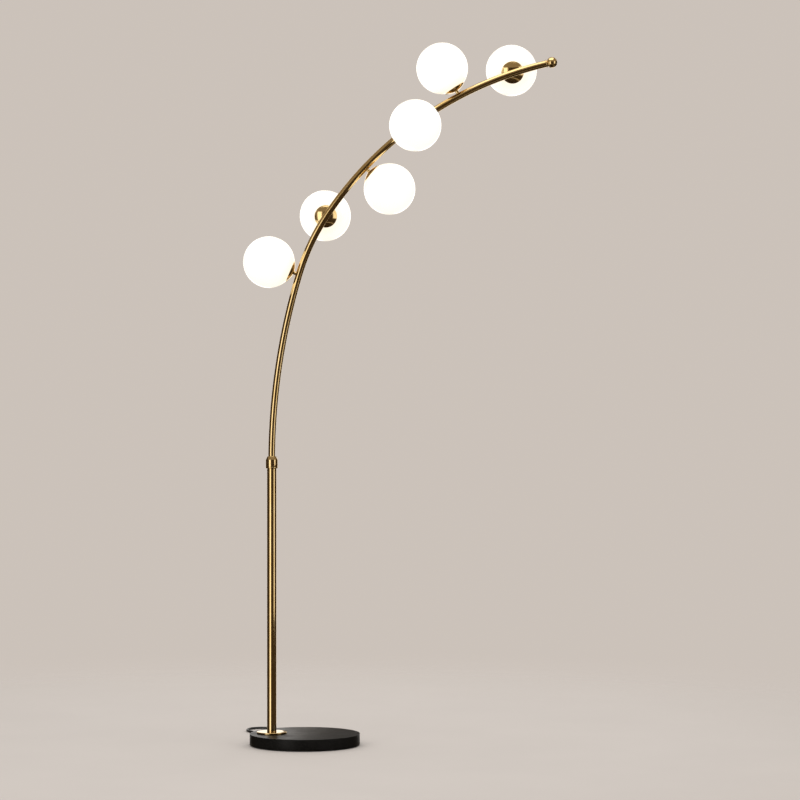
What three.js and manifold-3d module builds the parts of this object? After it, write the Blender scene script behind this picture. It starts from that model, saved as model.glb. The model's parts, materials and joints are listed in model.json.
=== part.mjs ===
// Arc floor lamp: a round stone base, an upright pole, and a bent tube that carries
// six opal glass globes in a spiral. Millimetres, +Z up, origin on the floor under the
// middle of the base, +X towards the reach of the arc, +Y towards the back.
import * as THREE from 'three';
import { mergeVertices } from 'three/addons/utils/BufferGeometryUtils.js';
import Module from 'manifold-3d';

const wasm = await Module();
wasm.setup();

// ---- driving dimensions -------------------------------------------------------
const gap = 0.3; // between pieces that touch
const runningGap = 0.2; // between pieces that turn or slide in each other

const baseDiameter = 255;
const baseThickness = 25;
const padThickness = 1.5;
const padInset = 4;
const poleOffset = 76.5; // pole axis, to the left of the middle of the base
const nutRecessDiameter = 46;
const nutRecessDepth = 17.3;
const cordChannelWidth = 9;

const archDiameter = 16;
const archWall = 1.2;
const poleWall = 1.5;
const guideWall = 1; // of the sleeve between the pole and the bent tube
const poleDiameter = archDiameter + 2 * (runningGap + guideWall + gap + poleWall);
const flangeDiameter = 70;
const flangeThickness = 4;
const insertHeight = 18;
const studDiameter = 10;
const studBore = 6.5;
const studStickOut = 1.3; // below the nut
const washerDiameter = 42;
const washerThickness = 2;
const nutAcrossFlats = 17;
const nutThickness = 4.5;

const collarBottom = 640; // height of the collar's lower edge
const collarWall = 2.8;
const collarMouthWall = 1.7;
const collarBandHeight = 20;
const collarConeHeight = 8;
const collarChamfer = 0.5;
const collarSeatDepth = 16; // how far the pole reaches into the collar
const guideLength = 30;
const guideLip = 1.5;

const archSides = 12;
const spigotLength = 158; // straight length of the bent tube inside the pole
const archBends = [
  { length: 12, radius: 700 },
  { length: 414, radius: 1520 },
  { length: 162, radius: 518 },
  { length: 621, radius: 840 },
];
const bushLength = 32;
const bushLip = 1.7;
const endRingWall = 2.5;
const endRingThickness = 2.5;
const endBallDiameter = 26;
const endBallStub = 12;

const globeDiameter = 120;
const globeWall = 1.8;
const globeSides = 16;
const firstLight = 434; // distance along the bend to the first light
const lightPitch = 144.5;
const shortPitch = 122; // between the fourth light and the fifth
const lightTurns = [0, 85, 180, 263, 360, 79]; // degrees round the tube, 0 is outwards
const lightLeans = [6.6, 3, 2.7, 2.5, -4.8, 2.9]; // degrees that each arm leans towards the tip
const cupDiameter = 52;
const cupRoom = 2.6; // between the dome and the crown of the glass
const cupWall = 1;
const stemShow = 4.6; // length of stem between the tube and the cup
const stemDiameter = 8;
const stemBore = 4.6;
const holderThreadDiameter = 31;
const holderThreadHeight = 11;
const holderBodyDiameter = 22;
const holderHeight = 24;
const bulbDiameter = 15;
const bulbLength = 38;
const neckGrip = 10; // how far the glass neck reaches down the holder's thread
const globeNeckWall = 2.5;
const loomDiameter = 5;
const tailDiameter = 3;

const cordDiameter = 5.5;
const leadDiameter = 4;
const leadBend = 6;
const glandDiameter = 8.4;
const glandInside = 10;
const glandOutside = 16;
const connectorDiameter = 12;
const connectorLength = 26;
const connectorDrop = 11.6; // below the spigot's bush

const switchCentre = new THREE.Vector2(-3, 24.5); // y from the back of the base
const switchLength = 58;
const switchWidth = 30;
const switchBaseThickness = 3;
const switchCoverHeight = 13;
const switchWall = 1.6;
const buttonDiameter = 14;
const buttonProud = 2.5;
const buttonTravel = 2;
const buttonSkirt = 2;

const coilCentre = new THREE.Vector2(37, 84.5);
const coilMiddleRadius = 32;
const coilRows = 3;
const coilLayers = 2;
const coilEntryAngle = -8; // degrees, where the cord reaches the coil
const coilExitAngle = 62; // degrees, where it leaves again

const plugCentre = new THREE.Vector2(-30, 80.5);
const plugWidth = 35.3;
const plugThickness = 13.7;
const plugBodyLength = 35;
const plugNoseLength = 20;
const pinDiameter = 4;
const pinLength = 19;
const pinSpacing = 18.6;

// ---- finish -------------------------------------------------------------------
const brass = new THREE.MeshStandardMaterial({ color: 0xc9a35c, roughness: 0.18, metalness: 1 });
const steel = new THREE.MeshStandardMaterial({ color: 0xa9abad, roughness: 0.35, metalness: 1 });
const stone = new THREE.MeshStandardMaterial({ color: 0x14120f, roughness: 0.22, metalness: 0 });
const foam = new THREE.MeshStandardMaterial({ color: 0x1c1c1c, roughness: 0.95, metalness: 0 });
const nylon = new THREE.MeshStandardMaterial({ color: 0xe6e2d8, roughness: 0.55, metalness: 0 });
const ceramic = new THREE.MeshStandardMaterial({ color: 0xf2efe8, roughness: 0.4, metalness: 0 });
const opal = new THREE.MeshStandardMaterial({
  color: 0xfff6e6, roughness: 0.25, metalness: 0, emissive: 0xffe2b4,
});
const quartz = new THREE.MeshStandardMaterial({
  color: 0xfff2d8, roughness: 0.1, metalness: 0, emissive: 0xffdca0,
});
const blackPlastic = new THREE.MeshStandardMaterial({ color: 0x111111, roughness: 0.45, metalness: 0 });
const blackRubber = new THREE.MeshStandardMaterial({ color: 0x0d0d0d, roughness: 0.7, metalness: 0 });

// ---- solids -------------------------------------------------------------------
// Merges shared vertices, drops flat triangles and turns the faces outwards.
function closed(geometry) {
  const bare = geometry.index ? geometry.toNonIndexed() : geometry.clone();
  bare.deleteAttribute('normal');
  bare.deleteAttribute('uv');
  const merged = mergeVertices(bare, 1e-4);
  const index = merged.index.array;
  const kept = [];
  for (let i = 0; i < index.length; i += 3) {
    const [a, b, c] = [index[i], index[i + 1], index[i + 2]];
    if (a !== b && b !== c && c !== a) kept.push(a, b, c);
  }
  if (signedVolume(merged.attributes.position, kept) < 0) kept.reverse();
  merged.setIndex(kept);
  return merged;
}

function signedVolume(position, index) {
  const [a, b, c] = [new THREE.Vector3(), new THREE.Vector3(), new THREE.Vector3()];
  let volume = 0;
  for (let i = 0; i < index.length; i += 3) {
    a.fromBufferAttribute(position, index[i]);
    b.fromBufferAttribute(position, index[i + 1]);
    c.fromBufferAttribute(position, index[i + 2]);
    volume += a.dot(b.cross(c)) / 6;
  }
  return volume;
}

function toManifold(geometry) {
  const solid = closed(geometry);
  return new wasm.Manifold(new wasm.Mesh({
    numProp: 3,
    vertProperties: new Float32Array(solid.attributes.position.array),
    triVerts: new Uint32Array(solid.index.array),
  }));
}

function fromManifold(solid) {
  const mesh = solid.getMesh();
  const geometry = new THREE.BufferGeometry();
  geometry.setAttribute('position', new THREE.BufferAttribute(mesh.vertProperties, 3));
  geometry.setIndex(new THREE.BufferAttribute(mesh.triVerts, 1));
  return geometry;
}

function cut(geometry, ...tools) {
  return fromManifold(tools.reduce((left, tool) => left.subtract(toManifold(tool)), toManifold(geometry)));
}

function join(geometry, ...others) {
  return fromManifold(others.reduce((sum, other) => sum.add(toManifold(other)), toManifold(geometry)));
}

// A solid of revolution about +Z from [radius, height] pairs.
function turned(profile, sides = 24) {
  const points = profile.map(([radius, height]) => new THREE.Vector2(radius, height));
  const geometry = new THREE.LatheGeometry(points, sides);
  geometry.rotateX(Math.PI / 2);
  return closed(geometry);
}

// A ring with a rectangular section.
function ring(inner, outer, bottom, top, sides = 24) {
  const corners = [[inner, bottom], [outer, bottom], [outer, top], [inner, top], [inner, bottom]];
  return turned(corners, sides);
}

function rod(radius, bottom, top, sides = 16) {
  return turned([[0, bottom], [radius, bottom], [radius, top], [0, top]], sides);
}

function polygon(radius, sides) {
  return Array.from({ length: sides }, (_, k) => {
    const angle = (2 * Math.PI * (k + 0.5)) / sides;
    return new THREE.Vector2(radius * Math.cos(angle), radius * Math.sin(angle));
  });
}

// A round bar, or a pipe if it has a bore, along a curve.
function swept(curve, radius, steps, sides, bore = 0) {
  const shape = new THREE.Shape(polygon(radius, sides));
  if (bore > 0) shape.holes.push(new THREE.Path(polygon(bore, sides).reverse()));
  return closed(new THREE.ExtrudeGeometry(shape, { steps, extrudePath: curve, bevelEnabled: false }));
}

// A block with rounded upright edges, from z = bottom to z = top.
function roundedBlock(length, width, corner, bottom, top) {
  const [x, y] = [length / 2 - corner, width / 2 - corner];
  const shape = new THREE.Shape();
  shape.absarc(x, y, corner, 0, Math.PI / 2);
  shape.absarc(-x, y, corner, Math.PI / 2, Math.PI);
  shape.absarc(-x, -y, corner, Math.PI, 1.5 * Math.PI);
  shape.absarc(x, -y, corner, 1.5 * Math.PI, 2 * Math.PI);
  const settings = { depth: top - bottom, bevelEnabled: false, curveSegments: 4 };
  return new THREE.ExtrudeGeometry(shape, settings).translate(0, 0, bottom);
}

const lamp = new THREE.Group();

function add(name, geometry, material, parent = lamp) {
  const mesh = new THREE.Mesh(closed(geometry), material);
  mesh.name = name;
  parent.add(mesh);
  return mesh;
}

// ---- heights that follow from the sizes above ---------------------------------
const baseBottom = padThickness + gap;
const baseTop = baseBottom + baseThickness;
const poleBottom = baseTop + gap;
const poleTop = collarBottom + collarSeatDepth;
const poleBore = poleDiameter / 2 - poleWall;
const collarTop = collarBottom + collarBandHeight + collarConeHeight;
const spigotBottom = collarTop - spigotLength;
const cordAxis = cordDiameter / 2 + 0.1; // height of the cord's axis on the floor
const channelAxis = baseBottom + gap + glandDiameter / 2;
const archBore = archDiameter / 2 - archWall;
const recessCeiling = baseBottom + nutRecessDepth;
const nutBottom = recessCeiling - gap - washerThickness - gap - nutThickness;
const studBottom = nutBottom - studStickOut;
const connectorTop = spigotBottom - bushLip - connectorDrop;

// ---- stand: pad, base, pole and what holds them together ----------------------
const baseEdgeBehindPole = Math.sqrt((baseDiameter / 2) ** 2 - poleOffset ** 2);

function buildStand() {
  const pad = rod(baseDiameter / 2 - padInset, 0, padThickness, 48);
  add('base_pad', pad, foam);

  const disc = rod(baseDiameter / 2, baseBottom, baseTop, 64);
  const recess = rod(nutRecessDiameter / 2, baseBottom - 1, recessCeiling, 20);
  const studHole = rod(studDiameter / 2 + 2 * gap, baseBottom, baseTop + 1, 12);
  const channelHeight = glandDiameter + 2 * gap;
  const channel = new THREE.BoxGeometry(cordChannelWidth, baseDiameter / 2, channelHeight + 1);
  channel.translate(-poleOffset, baseDiameter / 4, baseBottom + channelHeight / 2 - 0.5);
  recess.translate(-poleOffset, 0, 0);
  studHole.translate(-poleOffset, 0, 0);
  add('base_disc', cut(disc, recess, studHole, channel), stone);

  const upright = new THREE.Group();
  upright.position.x = -poleOffset;
  lamp.add(upright);
  const washerBottom = nutBottom + nutThickness + gap;
  const studReach = studDiameter / 2 + gap;
  const washer = ring(studReach, washerDiameter / 2, washerBottom, washerBottom + washerThickness);
  add('base_washer', washer, steel, upright);
  const nut = rod(nutAcrossFlats / Math.sqrt(3), nutBottom, nutBottom + nutThickness, 6);
  add('base_nut', cut(nut, rod(studReach, nutBottom - 1, washerBottom + 1, 12)), steel, upright);
  const studTop = poleBottom + insertHeight - 2;
  add('pole_stud', ring(studBore / 2, studDiameter / 2, studBottom, studTop, 12), steel, upright);
  const insertTop = poleBottom + insertHeight;
  add('pole_insert', ring(studReach, poleBore - gap, poleBottom, insertTop, 16), steel, upright);

  const [inner, outer] = [poleDiameter / 2 + gap, flangeDiameter / 2];
  const flangeTop = poleBottom + flangeThickness;
  const edge = flangeThickness / 2;
  const flange = [
    [inner, poleBottom], [outer - 0.6, poleBottom], [outer, poleBottom + edge],
    [outer - 0.8, flangeTop - 0.6], [outer - edge, flangeTop], [inner, flangeTop], [inner, poleBottom],
  ];
  add('pole_flange', turned(flange, 28), brass, upright);
  add('lower_pole', ring(poleBore, poleDiameter / 2, poleBottom, poleTop, 24), brass, upright);

  const guideInner = archDiameter / 2 + runningGap;
  const guideTop = poleTop + gap + guideLip;
  const guide = [
    [guideInner, poleTop - guideLength], [poleBore - gap, poleTop - guideLength],
    [poleBore - gap, poleTop + gap], [poleDiameter / 2 - gap, poleTop + gap],
    [poleDiameter / 2 - gap, guideTop], [guideInner, guideTop], [guideInner, poleTop - guideLength],
  ];
  add('guide_sleeve', turned(guide, 24), nylon, upright);

  const collarInner = poleDiameter / 2 + runningGap;
  const collarOuter = collarInner + collarWall;
  const [seat, bandTop] = [guideTop + gap, collarBottom + collarBandHeight];
  const mouth = archDiameter / 2 + gap;
  const collar = [
    [collarInner, collarBottom], [collarOuter - collarChamfer, collarBottom],
    [collarOuter, collarBottom + collarChamfer], [collarOuter, bandTop],
    [mouth + collarMouthWall, collarTop], [mouth, collarTop],
    [mouth, seat], [collarInner, seat], [collarInner, collarBottom],
  ];
  add('lock_collar', turned(collar, 24), brass, upright);

  const connector = rod(connectorDiameter / 2, connectorTop - connectorLength, connectorTop, 12);
  add('lead_connector', connector, nylon, upright);
}

// The mains lead inside the stand: along the channel, up through the stud and the pole.
function buildLead() {
  const route = new THREE.CurvePath();
  const leadStart = baseEdgeBehindPole - glandInside - gap;
  const elbow = new THREE.Vector3(-poleOffset, leadBend, channelAxis);
  route.add(new THREE.LineCurve3(new THREE.Vector3(-poleOffset, leadStart, channelAxis), elbow));
  const corner = new THREE.Vector3(-poleOffset, 0, channelAxis);
  const risen = new THREE.Vector3(-poleOffset, 0, channelAxis + leadBend);
  route.add(new THREE.QuadraticBezierCurve3(elbow, corner, risen));
  const leadTop = connectorTop - connectorLength - gap;
  route.add(new THREE.LineCurve3(risen, new THREE.Vector3(-poleOffset, 0, leadTop)));
  return sweptThrough(route, leadDiameter / 2, [1, 5, 1], 8);
}

// Sweeps a round bar along a path of several curves, with its own steps on each.
function sweptThrough(path, radius, steps, sides) {
  const stations = [path.curves[0].getPoint(0)];
  path.curves.forEach((curve, k) => {
    for (let i = 1; i <= steps[k]; i += 1) stations.push(curve.getPoint(i / steps[k]));
  });
  return sweptStations(stations, radius, sides);
}

// The direction at each station of a line, from its neighbours.
function headings(stations) {
  return stations.map((_, k) => {
    const before = stations[Math.max(k - 1, 0)];
    const after = stations[Math.min(k + 1, stations.length - 1)];
    return after.clone().sub(before).normalize();
  });
}

// Joins rings of points at the given stations into a closed bar.
function sweptStations(stations, radius, sides, tangents = headings(stations)) {
  const positions = [];
  const index = [];
  const side = new THREE.Vector3();
  const last = stations.length - 1;
  side.crossVectors(tangents[0], new THREE.Vector3(0, 0, 1)).normalize();
  stations.forEach((point, k) => {
    const tangent = tangents[k];
    side.addScaledVector(tangent, -side.dot(tangent)).normalize();
    const up = new THREE.Vector3().crossVectors(tangent, side);
    polygon(radius, sides).forEach(({ x, y }) => {
      const corner = point.clone().addScaledVector(side, x).addScaledVector(up, y);
      positions.push(corner.x, corner.y, corner.z);
    });
  });
  for (let k = 0; k < last; k += 1) {
    for (let i = 0; i < sides; i += 1) {
      const [a, b] = [k * sides + i, k * sides + ((i + 1) % sides)];
      index.push(a, b, b + sides, a, b + sides, a + sides);
    }
  }
  for (let i = 1; i < sides - 1; i += 1) {
    index.push(0, i + 1, i);
    index.push(last * sides, last * sides + i, last * sides + i + 1);
  }
  const geometry = new THREE.BufferGeometry();
  geometry.setAttribute('position', new THREE.Float32BufferAttribute(positions, 3));
  geometry.setIndex(index);
  return closed(geometry);
}

// ---- the bend -----------------------------------------------------------------
// The point and the heading (radians from upright, towards +X) at a distance along
// the bend, which starts upright at the top of the collar. Below it is the spigot.
function alongBend(distance) {
  let [x, z, heading] = [-poleOffset, collarTop, 0];
  if (distance <= 0) return { x, z: z + distance, heading };
  let left = distance;
  for (const { length, radius } of archBends) {
    const run = Math.min(left, length);
    const turn = run / radius;
    x += radius * (Math.cos(heading) - Math.cos(heading + turn));
    z += radius * (Math.sin(heading + turn) - Math.sin(heading));
    heading += turn;
    left -= run;
    if (left <= 0) break;
  }
  return { x, z, heading };
}

// The stretch of the tube's axis between two distances along the bend.
class BendLine extends THREE.Curve {
  constructor(from, to) {
    super();
    this.from = from;
    this.to = to;
  }

  getPoint(t) {
    const { x, z } = alongBend(this.from + t * (this.to - this.from));
    return new THREE.Vector3(x, 0, z);
  }
}

const bendLength = archBends.reduce((sum, { length }) => sum + length, 0);
const lightSteps = [0, lightPitch, lightPitch, lightPitch, shortPitch, lightPitch];
const lightDistances = lightSteps.map((_, k) => (
  lightSteps.slice(0, k + 1).reduce((sum, step) => sum + step, firstLight)
));

// A group whose origin is on the tube's axis and whose +Z points along the arm.
function armFrame(k) {
  const turn = THREE.MathUtils.degToRad(lightTurns[k]);
  const lean = THREE.MathUtils.degToRad(lightLeans[k]);
  const root = lightDistances[k] - armLength * Math.sin(lean);
  const { x, z, heading } = alongBend(root);
  const outwards = new THREE.Vector3(-Math.cos(heading), 0, Math.sin(heading));
  const backwards = new THREE.Vector3(0, 1, 0);
  const tipwards = new THREE.Vector3(Math.sin(heading), 0, Math.cos(heading));
  const arm = outwards.multiplyScalar(Math.cos(turn)).addScaledVector(backwards, Math.sin(turn));
  arm.multiplyScalar(Math.cos(lean)).addScaledVector(tipwards, Math.sin(lean));
  const frame = new THREE.Group();
  frame.position.set(x, 0, z);
  frame.quaternion.setFromUnitVectors(new THREE.Vector3(0, 0, 1), arm);
  frame.updateMatrix();
  return frame;
}

// ---- one light, built along +Z from the tube's axis ---------------------------
const globeRadius = globeDiameter / 2;
const cupRadius = cupDiameter / 2;
const cupApex = archDiameter / 2 + stemShow;
const armLength = cupApex + cupRoom + gap + globeRadius; // from the tube's axis to a globe's centre
const armFrames = lightTurns.map((_, k) => armFrame(k));
const cupHeight = cupRoom + globeRadius - Math.sqrt(globeRadius ** 2 - cupRadius ** 2);
const domeRadius = (cupRadius ** 2 + cupHeight ** 2) / (2 * cupHeight);
const domeHeight = (radius) => cupApex + domeRadius - Math.sqrt(domeRadius ** 2 - radius ** 2);
const glassHeight = (radius) => armLength - Math.sqrt(globeRadius ** 2 - radius ** 2);
const threadRadius = holderThreadDiameter / 2;
const holderBottom = domeHeight(threadRadius) + cupWall + gap;
const stemTop = holderBottom - gap;
const stemBottom = archDiameter / 2 - archWall - 1;
const stemHole = stemDiameter / 2 + gap;
const holderTop = holderBottom + holderHeight;

function cupSolid() {
  const outerStops = [stemHole, 0.45 * cupRadius, 0.75 * cupRadius, cupRadius];
  const innerStops = [cupRadius - cupWall, 0.86 * cupRadius, 0.7 * cupRadius, 0.4 * cupRadius, stemHole];
  const outer = outerStops.map((r) => [r, domeHeight(r)]);
  const inner = innerStops.map((r) => [r, Math.min(domeHeight(r) + cupWall, glassHeight(r) - gap)]);
  return turned([...outer, ...inner, outer[0]], 16);
}

function holderSolid() {
  const shoulder = holderBottom + holderThreadHeight;
  const body = holderBodyDiameter / 2;
  return turned([
    [0, holderBottom], [threadRadius, holderBottom], [threadRadius, shoulder],
    [body, shoulder], [body, holderTop], [0, holderTop],
  ], 12);
}

function bulbSolid() {
  const [bottom, radius] = [holderTop + gap, bulbDiameter / 2];
  const top = bottom + bulbLength;
  return turned([
    [0, bottom], [radius, bottom], [radius, top - radius],
    [0.7 * radius, top - 0.3 * radius], [0, top],
  ], 10);
}

function globeSolid() {
  const neckInner = (threadRadius + gap) / Math.cos(Math.PI / globeSides);
  const neckOuter = neckInner + globeNeckWall;
  const innerRadius = globeRadius - globeWall;
  const arc = (radius, from, to, count) => Array.from({ length: count + 1 }, (_, k) => {
    const angle = from + ((to - from) * k) / count;
    return [radius * Math.sin(angle), armLength - radius * Math.cos(angle)];
  });
  const outer = arc(globeRadius, Math.PI, Math.asin(cupRadius / globeRadius), 7);
  outer[0][0] = 0;
  outer.push([neckInner, glassHeight(neckInner)]);
  const neckEnd = holderBottom + neckGrip;
  const inner = arc(innerRadius, Math.asin(neckOuter / innerRadius), Math.PI, 6);
  inner[inner.length - 1][0] = 0;
  return turned([...outer, [neckInner, neckEnd], [neckOuter, neckEnd], ...inner], globeSides);
}

function buildLight(k) {
  const number = k + 1;
  const frame = armFrames[k];
  lamp.add(frame);
  add(`stem_${number}`, ring(stemBore / 2, stemDiameter / 2, stemBottom, stemTop, 10), brass, frame);
  add(`cup_${number}`, cupSolid(), brass, frame);
  add(`lampholder_${number}`, holderSolid(), ceramic, frame);
  add(`bulb_${number}`, bulbSolid(), quartz, frame);
  add(`globe_${number}`, globeSolid(), opal, frame);
}

// ---- the bent tube, its ends and its wiring -----------------------------------
function buildArch() {
  const line = new BendLine(-spigotLength, bendLength);
  const tube = swept(line, archDiameter / 2, 32, archSides, archBore);
  const holes = armFrames.map((frame) => {
    const drill = rod(stemHole, archDiameter / 4, archDiameter, 10);
    return drill.applyMatrix4(frame.matrix);
  });
  add('arch_tube', cut(tube, ...holes), brass);

  const bushInner = archDiameter / 2 + gap;
  const bushOuter = poleBore - runningGap;
  const bushTop = spigotBottom + bushLength;
  const lipBottom = spigotBottom - gap - bushLip;
  const lipTop = spigotBottom - gap;
  const bush = turned([
    [archBore, lipBottom], [bushOuter, lipBottom], [bushOuter, bushTop],
    [bushInner, bushTop], [bushInner, lipTop], [archBore, lipTop], [archBore, lipBottom],
  ], 24);
  add('spigot_bush', bush.translate(-poleOffset, 0, 0), nylon);

  const loomBottom = connectorTop + gap - collarTop;
  const lastLight = lightDistances[lightDistances.length - 1];
  const loom = swept(new BendLine(loomBottom, lastLight + loomDiameter), loomDiameter / 2, 30, 6);
  const tails = armFrames.map((frame) => (
    rod(tailDiameter / 2, 0.5, stemTop, 6).applyMatrix4(frame.matrix)
  ));
  add('wiring_loom', join(loom, ...tails), blackPlastic);

  const end = new THREE.Group();
  const { x, z, heading } = alongBend(bendLength);
  end.position.set(x, 0, z);
  end.rotation.y = heading;
  lamp.add(end);
  const ringTop = gap + endRingThickness;
  const stubRadius = archBore * Math.cos(Math.PI / archSides) - gap;
  const ballRadius = endBallDiameter / 2;
  const ringRadius = archDiameter / 2 + endRingWall / 2;
  add('end_ring', ring(stubRadius + gap, ringRadius, gap, ringTop, 20), brass, end);
  const ballStart = ringTop + gap;
  const contact = Math.asin(stubRadius / ballRadius);
  const centre = ballStart + ballRadius * Math.cos(contact);
  const ball = Array.from({ length: 8 }, (_, k) => {
    const angle = contact + ((Math.PI - contact) * k) / 7;
    return [k === 7 ? 0 : ballRadius * Math.sin(angle), centre - ballRadius * Math.cos(angle)];
  });
  add('end_ball', turned([[0, -endBallStub], [stubRadius, -endBallStub], ...ball], 20), brass, end);
}

// ---- mains cord, foot switch and plug on the floor behind the base -------------
// Their places are measured from the back of the base, so they follow its size.
const behindBase = new THREE.Group();
behindBase.position.y = baseDiameter / 2;
lamp.add(behindBase);

const coilHalfWidth = (coilRows * cordDiameter) / 2;
const coilOuter = coilMiddleRadius + coilHalfWidth;
const exitY = baseEdgeBehindPole + glandOutside + gap - baseDiameter / 2;
const switchLeft = switchCentre.x - switchLength / 2;
const switchRight = switchCentre.x + switchLength / 2;
const plugNoseTop = plugCentre.y + plugBodyLength / 2 + plugNoseLength;

// A point beside the coil, clear of it by the gap, at an angle in degrees.
function besideCoil(angle) {
  const radius = coilOuter + cordDiameter / 2 + gap;
  const radians = THREE.MathUtils.degToRad(angle);
  return [coilCentre.x + radius * Math.cos(radians), coilCentre.y + radius * Math.sin(radians)];
}

function cordTube(points, steps) {
  const route = points.map(([x, y, z = cordAxis]) => new THREE.Vector3(x, y, z));
  const curve = new THREE.CatmullRomCurve3(route, false, 'centripetal');
  const tangents = Array.from({ length: steps + 1 }, (_, k) => curve.getTangentAt(k / steps));
  return sweptStations(curve.getSpacedPoints(steps), cordDiameter / 2, 8, tangents);
}

function buildCord() {
  const gland = turned([
    [leadDiameter / 2 + gap, -glandInside], [glandDiameter / 2, -glandInside],
    [glandDiameter / 2, 0], [cordDiameter / 2 + 0.5, glandOutside],
    [leadDiameter / 2 + gap, glandOutside], [leadDiameter / 2 + gap, -glandInside],
  ], 12);
  gland.rotateX(-Math.PI / 2).translate(-poleOffset, baseEdgeBehindPole, channelAxis);
  add('cord_gland', gland, blackRubber);

  const fromBase = [
    [-poleOffset, exitY, channelAxis], [-poleOffset, exitY + 8, channelAxis - 0.2],
    [-78, 14.5, 4], [-87, 38.5], [-106, 68.5], [-130, 98.5],
    [-146, 128.5], [-147, 153.5], [-138.5, 174.5], [-121.5, 185.5], [-102.5, 182.7], [-88.5, 167.5],
    [-79, 146], [-71, 121], [-66, 99], [-64, 78.5], [-63.8, 61.5], [-61.3, 48],
    [switchLeft - 23.5, switchCentre.y + 11.8, 3.3], [switchLeft - 14.8, switchCentre.y + 3.9, 5],
    [switchLeft - 6.5, switchCentre.y + 0.6, 6.2], [switchLeft - gap, switchCentre.y, 6.5],
  ];
  add('cord_to_switch', cordTube(fromBase, 38), blackPlastic, behindBase);

  const toCoil = [
    [switchRight + gap, switchCentre.y, 6.5], [switchRight + 5, switchCentre.y, 6.4],
    [switchRight + 10, switchCentre.y, 5.9], [53, 26.5, 3.4], [69, 37.5], [79, 56.5],
    besideCoil(coilEntryAngle),
  ];
  add('cord_to_coil', cordTube(toCoil, 9), blackPlastic, behindBase);

  const coil = ring(coilMiddleRadius - coilHalfWidth, coilOuter, 0, coilLayers * cordDiameter, 24);
  add('cord_coil', coil.translate(coilCentre.x, coilCentre.y, 0), blackPlastic, behindBase);

  const toPlug = [
    besideCoil(coilExitAngle), [38, 139.5], [14, 150.5], [-8, 151.5], [-23, 143.5, 4],
    [plugCentre.x, plugNoseTop + 10, 6.2], [plugCentre.x, plugNoseTop + 4, 6.8],
    [plugCentre.x, plugNoseTop + gap, plugThickness / 2],
  ];
  add('cord_to_plug', cordTube(toPlug, 9), blackPlastic, behindBase);
}

function buildSwitch() {
  const switchGroup = new THREE.Group();
  switchGroup.position.set(switchCentre.x, switchCentre.y, 0);
  behindBase.add(switchGroup);
  const corner = 12;
  const base = roundedBlock(switchLength - 2, switchWidth - 2, corner - 1, 0, switchBaseThickness);
  add('switch_base', base, blackPlastic, switchGroup);

  const coverBottom = switchBaseThickness + gap;
  const coverTop = coverBottom + switchCoverHeight;
  const innerLength = switchLength - 2 * switchWall;
  const innerWidth = switchWidth - 2 * switchWall;
  const shell = roundedBlock(switchLength, switchWidth, corner, coverBottom, coverTop);
  const cavity = roundedBlock(
    innerLength, innerWidth, corner - switchWall, coverBottom - 1, coverTop - switchWall,
  );
  const buttonHole = rod(buttonDiameter / 2 + runningGap, coverTop - 2 * switchWall, coverTop + 1, 20);
  const cover = cut(shell, cavity, buttonHole);
  add('switch_cover', cover, blackPlastic, switchGroup);

  const skirtTop = coverTop - switchWall - gap;
  const skirtBottom = skirtTop - buttonSkirt;
  const [radius, skirt] = [buttonDiameter / 2, buttonDiameter / 2 + 1.5];
  const button = turned([
    [0, skirtBottom], [skirt, skirtBottom], [skirt, skirtTop], [radius, skirtTop],
    [radius, coverTop + buttonProud - 0.6], [radius - 0.6, coverTop + buttonProud],
    [0, coverTop + buttonProud],
  ], 20);
  add('switch_button', button, blackPlastic, switchGroup);

  const blockTop = skirtBottom - buttonTravel - gap;
  const block = new THREE.BoxGeometry(22, 14, blockTop - coverBottom);
  add('switch_block', block.translate(0, 0, (blockTop + coverBottom) / 2), nylon, switchGroup);
}

function buildPlug() {
  const plug = new THREE.Group();
  plug.position.set(plugCentre.x, plugCentre.y, plugThickness / 2);
  behindBase.add(plug);
  const half = plugBodyLength / 2;
  const outline = new THREE.Shape([
    new THREE.Vector2(-plugWidth / 2, -half), new THREE.Vector2(plugWidth / 2, -half),
    new THREE.Vector2(plugWidth / 2, 0), new THREE.Vector2(8, half), new THREE.Vector2(-8, half),
    new THREE.Vector2(-plugWidth / 2, 0),
  ]);
  const settings = { depth: plugThickness, bevelEnabled: false };
  const block = new THREE.ExtrudeGeometry(outline, settings).translate(0, 0, -plugThickness / 2);
  const nose = turned([
    [0, -2], [5.5, -2], [cordDiameter / 2 + 0.8, plugNoseLength], [0, plugNoseLength],
  ], 12);
  nose.rotateX(-Math.PI / 2).translate(0, half, 0);
  add('plug_body', join(block, nose), blackPlastic, plug);
  [-1, 1].forEach((sign, k) => {
    const pin = rod(pinDiameter / 2, 0, pinLength, 8);
    pin.rotateX(Math.PI / 2).translate((sign * pinSpacing) / 2, -half - gap, 0);
    add(`plug_pin_${k + 1}`, pin, steel, plug);
  });
}

buildStand();
add('supply_lead', buildLead(), blackPlastic);
buildArch();
lightTurns.forEach((_, k) => buildLight(k));
buildCord();
buildSwitch();
buildPlug();

export default lamp;
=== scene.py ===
"""Looks of an arc floor lamp: a black stone base, a brass pole and arch, six opal globes
in a spiral, and the mains cord with its foot switch and plug. Lengths are in metres."""

import json
import math

import bmesh
import bpy
from bpy.props import FloatProperty, FloatVectorProperty, IntProperty, PointerProperty
from mathutils import Matrix, Vector


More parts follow.
